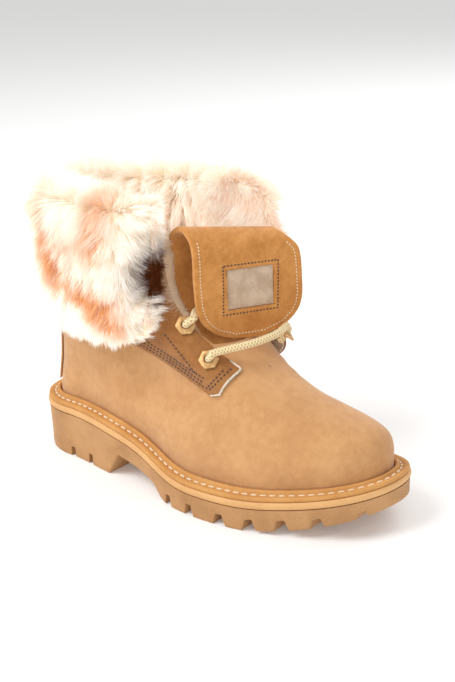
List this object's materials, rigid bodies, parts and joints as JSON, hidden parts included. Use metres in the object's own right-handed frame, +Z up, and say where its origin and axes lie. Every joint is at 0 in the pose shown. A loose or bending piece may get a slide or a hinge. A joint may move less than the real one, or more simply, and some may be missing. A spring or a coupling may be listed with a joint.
{
  "type": "sheepskin boot",
  "caption": "Right lace-up nubuck boot with a lugged sole, a fold-down shaft worn as a deep fur cuff, and a wide tongue folded forward over its lace bars.",
  "frame": {"origin": "centre of the heel's flat tread, on the floor", "axes": "+X towards the toe, +Y to the inner (big toe) side, +Z up"},
  "size_m": [0.293, 0.1289, 0.2082],
  "materials": {
    "outsole_rubber": "tan moulded rubber, satin",
    "midsole_rubber": "pale tan rubber, smooth",
    "welt": "orange-tan stitched welt",
    "nubuck": "honey nubuck with a fine nap",
    "tongue_leather": "oiled nubuck, more orange than the upper",
    "fleece": "short wool fleece",
    "eyelet": "painted tan metal, satin",
    "lace": "round braided cord",
    "patch_felt": "grey-beige woven patch",
    "fur": "long white fur with orange-brown streaks"
  },
  "bodies": {
    "root": {"outsole": "outsole_rubber", "midsole": "midsole_rubber", "welt": "welt", "insole": "fleece", "upper": "nubuck", "quarter_outer": "nubuck", "quarter_inner": "nubuck", "heel_counter": "nubuck", "eyelet_outer_low": "eyelet", "eyelet_outer_high": "eyelet", "eyelet_inner_low": "eyelet", "eyelet_inner_high": "eyelet", "lace_low": "lace", "lace_high": "lace", "tongue": "tongue_leather", "tongue_patch": "patch_felt", "fur_cuff": "fur"}
  },
  "joints": []
}
